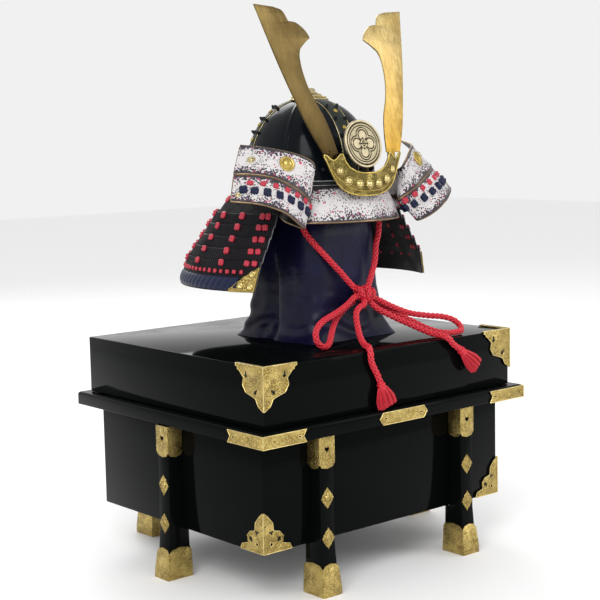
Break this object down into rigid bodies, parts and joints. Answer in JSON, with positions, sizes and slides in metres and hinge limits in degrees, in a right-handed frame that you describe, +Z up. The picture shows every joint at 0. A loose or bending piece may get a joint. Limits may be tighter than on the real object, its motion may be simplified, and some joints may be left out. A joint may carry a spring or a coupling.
{
  "type": "kabuto samurai helmet with its cloth-covered post and legged lacquered chest",
  "caption": "Display kabuto with notched gilt horns, round crest, turned-back leather wings, laced neck guard and red cord, on a satin-draped post over a black lacquered chest.",
  "frame": {"origin": "on the floor under the centre of the chest, at the bottom centre of the object's box without its cord", "axes": "+Z up, the front of the chest and of the helmet looks along -Y, +X towards the viewer's right"},
  "size_m": [0.398, 0.3413, 0.6066],
  "materials": {
    "lacquer": "wooden chest under deep black lacquer, polished to a mirror gloss",
    "brass": "antiqued brass sheet, engraved with scrolls on a punched ground",
    "gilt": "antiqued gilt brass, engraved, with worn bright edges",
    "medal_metal": "pale champagne-gold metal, dark in the recesses",
    "horn_gilt": "gilt plate brushed along its length",
    "bowl_lacquer": "black lacquer on metal, glossy",
    "lame_lacquer": "ribbed black lacquer with red and navy silk lacing",
    "leather": "white leather printed with small dark scrolls and red flowers, gilt rim",
    "satin": "dark blue satin",
    "post_wood": "plain turned wood",
    "silk": "round braided red silk cord, with tassels"
  },
  "bodies": {
    "root": {"chest_body": "lacquer", "chest_rim": "lacquer", "chest_lid": "lacquer", "leg_front_left": "lacquer", "leg_cap_front_left": "brass", "leg_shoe_front_left": "brass", "leg_front_right": "lacquer", "leg_cap_front_right": "brass", "leg_shoe_front_right": "brass", "leg_side_right": "lacquer", "leg_cap_side_right": "brass", "leg_shoe_side_right": "brass", "leg_back_right": "lacquer", "leg_cap_back_right": "brass", "leg_shoe_back_right": "brass", "leg_back_left": "lacquer", "leg_cap_back_left": "brass", "leg_shoe_back_left": "brass", "leg_side_left": "lacquer", "leg_cap_side_left": "brass", "leg_shoe_side_left": "brass", "lid_corner_right": "brass", "rim_strip_right": "brass", "body_corner_right": "brass", "lid_corner_left": "brass", "rim_strip_left": "brass", "body_corner_left": "brass", "centre_plate": "brass", "stand_post": "post_wood", "stand_cloth": "satin", "bowl": "bowl_lacquer", "waist_band": "bowl_lacquer", "crown_ornament": "gilt", "visor": "leather", "crest_holder": "gilt", "medallion": "medal_metal", "horn_right": "horn_gilt", "horn_left": "horn_gilt", "wing_upper_right": "leather", "wing_lower_right": "leather", "neck_corner_right": "gilt", "wing_upper_left": "leather", "wing_lower_left": "leather", "neck_corner_left": "gilt", "lame_1": "lame_lacquer", "lame_2": "lame_lacquer", "lame_3": "lame_lacquer", "lame_4": "lame_lacquer", "lame_5": "lame_lacquer", "lame_6": "lame_lacquer", "lame_7": "lame_lacquer", "chin_cord": "silk", "bow_loop_left": "silk", "bow_loop_right": "silk", "cord_tail_left": "silk", "cord_tail_right": "silk", "cord_knot": "silk", "tassel_left": "silk", "tassel_right": "silk"}
  },
  "joints": []
}
